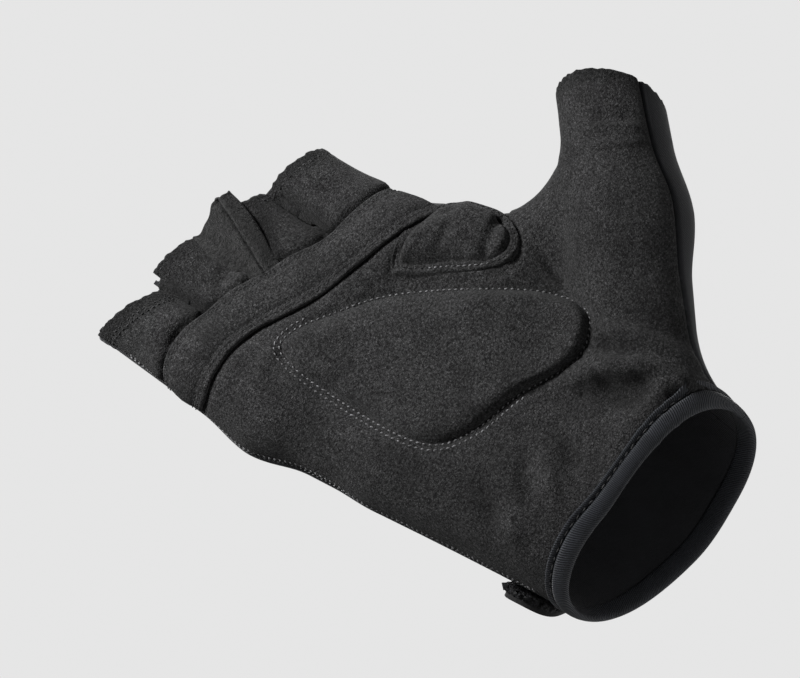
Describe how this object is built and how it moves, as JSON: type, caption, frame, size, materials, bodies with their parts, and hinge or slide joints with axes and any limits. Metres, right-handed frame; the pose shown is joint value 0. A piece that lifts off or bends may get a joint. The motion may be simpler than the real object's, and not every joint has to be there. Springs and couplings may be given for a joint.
{
  "type": "half-finger cycling glove",
  "caption": "Right-hand half-finger cycling glove with a padded suede palm, knit back, bound wrist and open finger stalls.",
  "frame": {"origin": "middle of the wrist opening, where the hand goes in", "axes": "+Z runs to the fingertips, -Y out of the palm, +X to the thumb side"},
  "size_m": [0.1413, 0.0488, 0.1596],
  "materials": {
    "suede": "charcoal synthetic suede with a short matt nap",
    "knit": "black stretch knit with a fine rib",
    "fleece": "brushed charcoal fleece with a raw edge",
    "binding": "ribbed elastic tape with a slight sheen",
    "strap": "black woven strap",
    "hook": "black hook tape",
    "thread": "grey sewing thread"
  },
  "bodies": {
    "root": {"palm_panel": "suede", "stall_index": "suede", "stall_middle": "suede", "stall_ring": "suede", "stall_little": "suede", "knuckle_band": "suede", "palm_pad": "suede", "crotch_patch": "suede", "fourchette_index": "knit", "fourchette_middle": "knit", "fourchette_ring": "knit", "back_panel": "knit", "thumb_back": "knit", "cuff_binding": "binding", "closure_strap": "strap", "hook_patch": "hook", "pull_tab": "fleece"}
  },
  "joints": []
}
